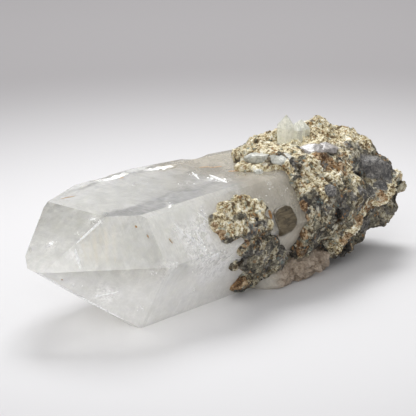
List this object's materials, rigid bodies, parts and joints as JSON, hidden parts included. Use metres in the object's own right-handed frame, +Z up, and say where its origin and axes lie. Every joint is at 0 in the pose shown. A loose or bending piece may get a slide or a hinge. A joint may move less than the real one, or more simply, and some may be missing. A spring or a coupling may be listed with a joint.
{
  "type": "quartz point",
  "caption": "Large milky-clear quartz crystal with a natural point, lying on one side, with host rock and small side crystals at its far end.",
  "frame": {"origin": "middle of the specimen's outline seen from above, on the surface that it rests on", "axes": "+X runs along the crystal from its point toward the rock, +Z is up, and -Y is the side that carries the patches of crust"},
  "size_m": [0.2007, 0.075, 0.0646],
  "materials": {
    "milky_quartz": "natural crystal faces, clear to milky with inner veils and fractures",
    "host_rock": "coarse, pitted and granular, grey with cream and rust-brown grains",
    "crust_rock": "coarse and granular, cream above and grey below with a rusty rim",
    "olive_crystal": "smooth olive-brown with a dull gloss",
    "pale_quartz": "milky, with smooth faces"
  },
  "bodies": {
    "root": {"quartz_point": "milky_quartz", "matrix_rock": "host_rock", "front_crust": "crust_rock", "set_crystal": "olive_crystal", "side_crystals": "pale_quartz"}
  },
  "joints": []
}
